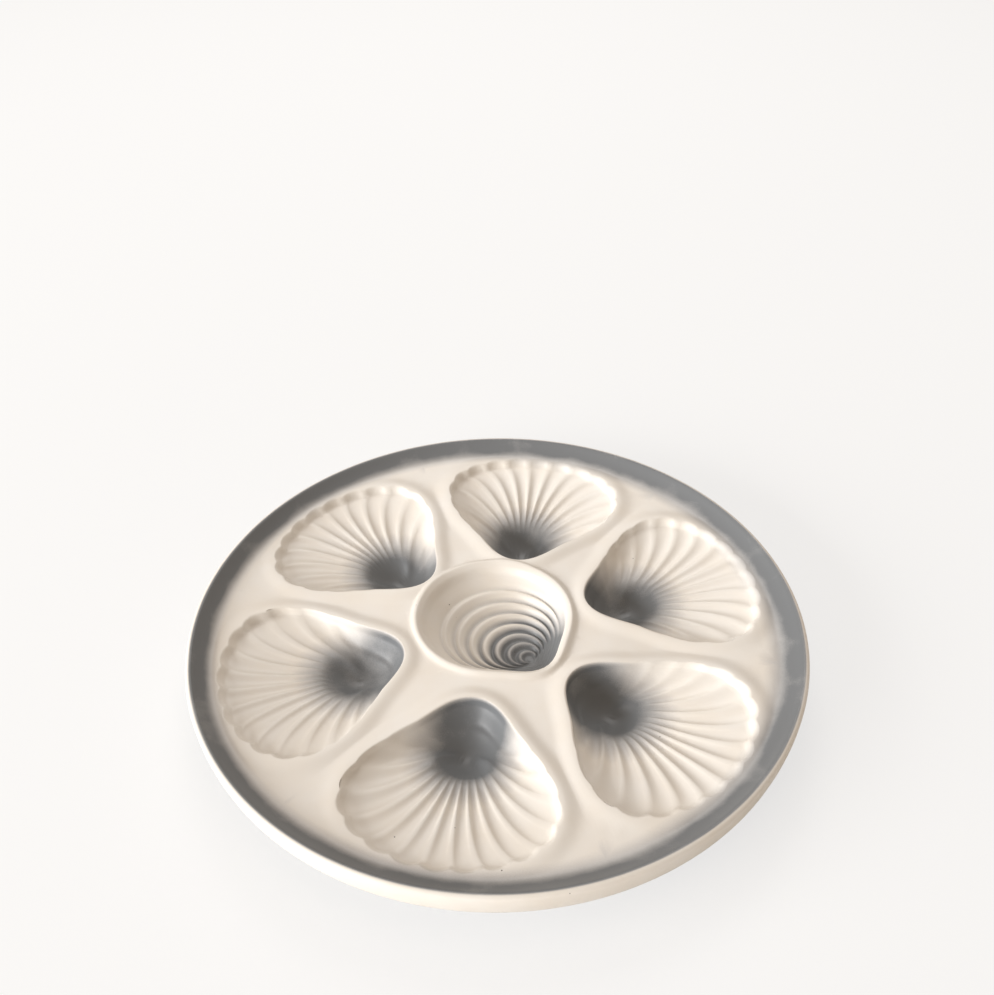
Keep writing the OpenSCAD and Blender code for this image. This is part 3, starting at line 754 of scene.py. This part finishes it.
def spray(form, points, sizes):
    """How much grey lies in the glaze at a point of the face, from 0 to 1: a band inside the lip that
    fades most widely on the right, a cloud over each shell's bowl that runs out along its flutes and
    thins over the hinge end, and one over the centre well's beak that is darker in the grooves. All
    fade with distance by easing cubics, and the foot has none."""
    radius = np.hypot(points[:, 0], points[:, 1])
    angles = np.arctan2(points[:, 1], points[:, 0])
    outside_r = form.plate.plate_r
    wide = 1 + sizes.rim_swell * np.cos(angles - sizes.swell_angle)
    inner = outside_r - sizes.rim_spray
    band = smooth(radius, inner - sizes.rim_fade * wide, inner + sizes.rim_full) ** sizes.rim_power
    on_face = 1 - smooth(radius, outside_r - sizes.lip_start, outside_r - sizes.lip_end)
    local = polar(*form.about_hub(points)) - [sizes.core_shift, 0]
    away = np.hypot(local[:, 0], local[:, 1]) - sizes.flute_run * points[:, 3]
    core = 1 - smooth(away, sizes.core_r, sizes.core_fade)
    beside = 1 - smooth(np.abs(local[:, 1]), sizes.hinge_w, sizes.hinge_fade)
    hinge = sizes.hinge_cover * smooth(-local[:, 0], 0, sizes.hinge_in) * beside
    in_shell = smooth(-form.past_shell(points[:, :2]), -sizes.edge_out, sizes.edge_in)
    in_centre = smooth(mouth(angles, form.centre) - radius, 0, sizes.mouth_in)
    beak_way = np.linalg.norm(points[:, :2] - form.beak, axis=-1)
    beak_cloud = 1 - smooth(beak_way, sizes.beak_r, sizes.beak_fade)
    grooves = sizes.groove_cover * (points[:, 3] - sizes.groove_level)
    beak_cloud = beak_cloud + grooves * (1 - smooth(beak_way, sizes.groove_r, sizes.groove_fade))
    wells = np.maximum(np.maximum(core, hinge) * in_shell, beak_cloud * in_centre)
    amount = np.clip(np.maximum(band * on_face, wells), 0, 1)
    clear_z = form.under_z - form.shell.bowl_d + sizes.foot_clear
    return np.where(points[:, 2] > clear_z, amount, 0)


def add_mesh(name, points, faces, material):
    """A smooth-shaded mesh object from arrays of points and triangles."""
    mesh = bpy.data.meshes.new(name)
    mesh.vertices.add(len(points))
    mesh.vertices.foreach_set("co", points[:, :3].astype(np.float32).ravel())
    mesh.loops.add(faces.size)
    mesh.loops.foreach_set("vertex_index", faces.astype(np.int32).ravel())
    mesh.polygons.add(len(faces))
    mesh.polygons.foreach_set("loop_start", np.arange(0, faces.size, 3, dtype=np.int32))
    mesh.update(calc_edges=True)
    mesh.polygons.foreach_set("use_smooth", np.ones(len(faces), dtype=bool))
    mesh.materials.append(material)
    piece = bpy.data.objects.new(name, mesh)
    bpy.context.scene.collection.objects.link(piece)
    return piece


def add_values(piece, name, values):
    """A float attribute on a piece's points."""
    attribute = piece.data.attributes.new(name, "FLOAT", "POINT")
    attribute.data.foreach_set("value", values.astype(np.float32))


def add_node(tree, kind, inputs=None, **settings):
    """A node with its settings, and its inputs set to values or linked from other nodes' sockets."""
    node = tree.nodes.new(kind)
    for key, value in settings.items():
        setattr(node, key, value)
    for key, value in (inputs or {}).items():
        if isinstance(value, bpy.types.NodeSocket):
            tree.links.new(value, node.inputs[key])
        else:
            node.inputs[key].default_value = value
    return node


def new_material(name):
    """An empty node material and its output."""
    material = bpy.data.materials.new(name)
    material.use_nodes = True
    material.node_tree.nodes.clear()
    return material, add_node(material.node_tree, "ShaderNodeOutputMaterial")


def rgba(value):
    """A colour property as the four numbers of a socket."""
    return (*value, 1)


def spray_cover(tree, where, cloud, colours):
    """How far the grey hides the glaze: the spray's amount, varied by the clouds and by fine drops."""
    amount = add_node(tree, "ShaderNodeAttribute", attribute_name="spray").outputs["Fac"]
    drops = add_node(
        tree, "ShaderNodeTexNoise", {"Vector": where, "Scale": 1 / colours.drop_w, "Detail": 1}
    ).outputs["Fac"]
    shaken = add_node(
        tree,
        "ShaderNodeMath",
        {0: drops, 1: colours.drop_cover, 2: -colours.drop_cover / 2},
        operation="MULTIPLY_ADD",
    ).outputs[0]
    uneven = add_node(
        tree,
        "ShaderNodeMath",
        {0: cloud, 1: colours.cloud_cover, 2: 1 - colours.cloud_cover / 2},
        operation="MULTIPLY_ADD",
    ).outputs[0]
    laid = add_node(
        tree, "ShaderNodeMath", {0: amount, 1: uneven, 2: shaken}, operation="MULTIPLY_ADD"
    ).outputs[0]
    return add_node(
        tree,
        "ShaderNodeMapRange",
        {"Value": laid, "From Min": colours.cover_start, "From Max": colours.cover_full},
    ).outputs[0]


def iron_specks(tree, where, colours):
    """1 in a speck and 0 elsewhere: small rounds, each in one of the few cells of a pattern whose
    random number is high enough."""
    cells = add_node(
        tree, "ShaderNodeTexVoronoi", {"Vector": where, "Scale": 1 / colours.speck_gap}
    ).outputs
    rim = {"From Min": colours.speck_core, "From Max": colours.speck_edge, "To Min": 1.0, "To Max": 0.0}
    dot = add_node(tree, "ShaderNodeMapRange", {"Value": cells["Distance"], **rim}).outputs[0]
    chosen = add_node(tree, "ShaderNodeSeparateColor", {"Color": cells["Color"]}).outputs[0]
    rare = add_node(
        tree, "ShaderNodeMath", {0: chosen, 1: colours.speck_rare}, operation="GREATER_THAN"
    ).outputs[0]
    return add_node(tree, "ShaderNodeMath", {0: dot, 1: rare}, operation="MULTIPLY").outputs[0]


def glaze_material(colours):
    """Tin glaze fired on faience: opaque, warm white and glossy, with a faint orange-peel in its
    highlights, grey sprayed on in fine drops that lie unevenly, and a few iron specks."""
    material, output = new_material("tin_glaze")
    tree = material.node_tree
    where = add_node(tree, "ShaderNodeTexCoord").outputs["Object"]
    cloud = add_node(
        tree, "ShaderNodeTexNoise", {"Vector": where, "Scale": 1 / colours.cloud_w, "Detail": 3}
    ).outputs["Fac"]
    tint = add_node(
        tree,
        "ShaderNodeMix",
        {"Factor": cloud, "A": rgba(colours.glaze), "B": rgba(colours.glaze_warm)},
        data_type="RGBA",
    ).outputs["Result"]
    cover = spray_cover(tree, where, cloud, colours)
    grey = add_node(
        tree,
        "ShaderNodeMix",
        {"Factor": cover, "A": rgba(colours.spray_cool), "B": rgba(colours.spray)},
        data_type="RGBA",
    ).outputs["Result"]
    painted = add_node(
        tree, "ShaderNodeMix", {"Factor": cover, "A": tint, "B": grey}, data_type="RGBA"
    ).outputs["Result"]
    specks = iron_specks(tree, where, colours)
    speckled = add_node(
        tree,
        "ShaderNodeMix",
        {"Factor": specks, "A": painted, "B": rgba(colours.speck)},
        data_type="RGBA",
    ).outputs["Result"]
    peel = add_node(
        tree, "ShaderNodeTexNoise", {"Vector": where, "Scale": 1 / colours.peel_w, "Detail": 2}
    ).outputs["Fac"]
    swells = add_node(
        tree, "ShaderNodeBump", {"Strength": 0.12, "Distance": colours.peel_h, "Height": peel}
    ).outputs[0]
    shader = add_node(
        tree,
        "ShaderNodeBsdfPrincipled",
        {"Base Color": speckled, "Roughness": 0.4, "IOR": 1.5, "Normal": swells},
    )
    tree.links.new(shader.outputs[0], output.inputs["Surface"])
    return material


def clay_material(colours):
    """Biscuit-fired earthenware, ground flat: matt and chalky, with fine grit and darker dust."""
    material, output = new_material("biscuit_earthenware")
    tree = material.node_tree
    where = add_node(tree, "ShaderNodeTexCoord").outputs["Object"]
    dust = add_node(
        tree, "ShaderNodeTexNoise", {"Vector": where, "Scale": 1 / colours.dust_w, "Detail": 4}
    ).outputs["Fac"]
    tone = add_node(
        tree,
        "ShaderNodeMix",
        {"Factor": dust, "A": rgba(colours.clay), "B": rgba(colours.clay_dust)},
        data_type="RGBA",
    ).outputs["Result"]
    grit = add_node(
        tree, "ShaderNodeTexNoise", {"Vector": where, "Scale": 1 / colours.grit_w, "Detail": 2}
    ).outputs["Fac"]
    grains = add_node(
        tree, "ShaderNodeBump", {"Strength": 0.4, "Distance": colours.grit_h, "Height": grit}
    ).outputs[0]
    shader = add_node(
        tree, "ShaderNodeBsdfPrincipled", {"Base Color": tone, "Roughness": 0.9, "Normal": grains}
    )
    tree.links.new(shader.outputs[0], output.inputs["Surface"])
    return material


class PLATE_OT_glaze(bpy.types.Operator):
    """Build the fired glaze coat as a closed skin over the clay, open at the ground pads"""

    bl_idname = "oyster_plate.glaze"
    bl_label = "Glaze coat"

    def execute(self, context):
        form = Form(context.scene)
        thick = form.plate.glaze_t
        grids = skin(form, FINE, 0, True) + skin(form, FINE, thick, False)
        for k in range(SHELLS):
            rings = np.stack([pad_ring(form, k * SECTOR, FINE, inset) for inset in (thick, 0)])
            grids.append((rings, False))
        points, faces = joined(grids)
        piece = add_mesh("tin_glaze_coat", points, faces, glaze_material(context.scene.glaze_colours))
        add_values(piece, "spray", spray(form, points, context.scene.spray_sizes))
        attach(piece, "root")
        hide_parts("glaze_coat")
        return {"FINISHED"}


class PLATE_OT_clay(bpy.types.Operator):
    """Build the clay body that the glaze covers, bare on its six ground pads"""

    bl_idname = "oyster_plate.clay"
    bl_label = "Clay body"

    def execute(self, context):
        form = Form(context.scene)
        thick = form.plate.glaze_t
        grids = skin(form, FINE, thick, True)
        for k in range(SHELLS):
            edge = pad_ring(form, k * SECTOR, FINE, thick)
            middle = np.broadcast_to(edge.mean(axis=0), edge.shape)
            grids.append((np.stack([middle, edge]), False))
        points, faces = joined(grids)
        piece = add_mesh("biscuit_clay_body", points, faces, clay_material(context.scene.glaze_colours))
        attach(piece, "root")
        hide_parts("biscuit_body")
        return {"FINISHED"}


def place_camera(studio, rim_z):
    """The camera, aimed at the rim's centre and then turned by its yaw, pitch and roll in that
    order."""
    place = Vector((0, -math.cos(studio.elevation), math.sin(studio.elevation))) * studio.distance
    ahead, right = -place.normalized(), Vector((1, 0, 0))
    up = right.cross(ahead)
    turn = Quaternion(up, studio.yaw)
    ahead, right = turn @ ahead, turn @ right
    turn = Quaternion(right, studio.pitch)
    ahead, up = turn @ ahead, turn @ up
    turn = Quaternion(ahead, studio.roll)
    right, up = turn @ right, turn @ up
    place.z += rim_z
    pose = Matrix.Translation(place) @ Matrix((right, up, -ahead)).transposed().to_4x4()
    lens = bpy.data.cameras.new("studio_camera")
    lens.sensor_fit = "HORIZONTAL"
    lens.lens = studio.focal_px / studio.image_w * lens.sensor_width
    camera = bpy.data.objects.new("studio_camera", lens)
    camera.matrix_world = Matrix.Rotation(studio.azimuth, 4, "Z") @ pose
    bpy.context.scene.collection.objects.link(camera)
    bpy.context.scene.camera = camera


def add_lamp(name, place, width, height, power):
    """A soft lamp, as wide and high as a window, that faces the plate."""
    light = bpy.data.lights.new(name, "AREA")
    light.shape = "RECTANGLE"
    light.size, light.size_y, light.energy = width, height, power
    lamp = bpy.data.objects.new(name, light)
    lamp.location = place
    lamp.rotation_euler = (-Vector(place)).to_track_quat("-Z", "Y").to_euler()
    bpy.context.scene.collection.objects.link(lamp)


def floor_material(studio):
    """Matt painted floor, which the camera sees lifted towards white, as in an overexposed picture."""
    material, output = new_material("pale_floor")
    tree = material.node_tree
    matt = add_node(
        tree, "ShaderNodeBsdfPrincipled", {"Base Color": rgba(studio.floor), "Roughness": 0.9}
    ).outputs[0]
    seen = add_node(tree, "ShaderNodeLightPath").outputs["Is Camera Ray"]
    lift = add_node(
        tree, "ShaderNodeMath", {0: seen, 1: studio.floor_lift}, operation="MULTIPLY"
    ).outputs[0]
    white = add_node(
        tree, "ShaderNodeEmission", {"Color": rgba(studio.backdrop), "Strength": 1.0}
    ).outputs[0]
    mixed = add_node(tree, "ShaderNodeMixShader", {0: lift, 1: matt, 2: white})
    tree.links.new(mixed.outputs[0], output.inputs["Surface"])
    return material


def add_room(studio):
    """The room's own light, which the camera sees as the white backdrop."""
    world = bpy.data.worlds.new("studio_world")
    world.use_nodes = True
    tree = world.node_tree
    tree.nodes.clear()
    room = add_node(
        tree,
        "ShaderNodeBackground",
        {"Color": rgba(studio.room_light), "Strength": studio.room_strength},
    ).outputs[0]
    behind = add_node(
        tree, "ShaderNodeBackground", {"Color": rgba(studio.backdrop), "Strength": 1.0}
    ).outputs[0]
    seen = add_node(tree, "ShaderNodeLightPath").outputs["Is Camera Ray"]
    mixed = add_node(tree, "ShaderNodeMixShader", {0: seen, 1: room, 2: behind})
    add_node(tree, "ShaderNodeOutputWorld", {"Surface": mixed.outputs[0]})
    bpy.context.scene.world = world


class PLATE_OT_studio(bpy.types.Operator):
    """Build the pale floor, the soft light and the camera"""

    bl_idname = "oyster_plate.studio"
    bl_label = "Studio"

    def execute(self, context):
        scene, studio = context.scene, context.scene.studio_settings
        half = studio.floor_size / 2
        corners = np.array([[-half, -half, 0], [half, -half, 0], [half, half, 0], [-half, half, 0]])
        halves = np.array([[0, 1, 2], [0, 2, 3]])
        floor = add_mesh("pale_floor", corners, halves, floor_material(studio))
        add_room(studio)
        window = (studio.window, studio.window_w, studio.window_h, studio.window_power)
        back = (studio.back_window, studio.back_side, studio.back_side, studio.back_power)
        add_lamp("window_lamp", *window)
        add_lamp("back_window", *back)
        scene.view_settings.view_transform = "Standard"
        place_camera(studio, scene.plate_sizes.rim_z)
        return {"FINISHED"}


class PLATE_PT_panel(bpy.types.Panel):
    """Lists the steps that build the plate"""

    bl_idname = "PLATE_PT_panel"
    bl_label = "Oyster plate"
    bl_space_type = "VIEW_3D"
    bl_region_type = "UI"
    bl_category = "Oyster plate"

    def draw(self, context):
        for step in STEPS:
            self.layout.operator(step.bl_idname, text=step.bl_label)


STEPS = (PLATE_OT_glaze, PLATE_OT_clay, PLATE_OT_studio)
GROUPS = {
    "plate_sizes": PlateSizes,
    "shell_sizes": ShellSizes,
    "centre_sizes": CentreSizes,
    "glaze_colours": GlazeColours,
    "spray_sizes": SpraySizes,
    "studio_settings": StudioSettings,
}


def register():
    for kind in (*GROUPS.values(), *STEPS, PLATE_PT_panel):
        bpy.utils.register_class(kind)
    for name, kind in GROUPS.items():
        setattr(bpy.types.Scene, name, PointerProperty(type=kind))


def unregister():
    for name in GROUPS:
        delattr(bpy.types.Scene, name)
    for kind in (PLATE_PT_panel, *reversed(STEPS), *reversed(GROUPS.values())):
        bpy.utils.unregister_class(kind)


def main():
    register()
    bpy.ops.oyster_plate.glaze()
    bpy.ops.oyster_plate.clay()
    bpy.ops.oyster_plate.studio()


if __name__ == "__main__":
    main()
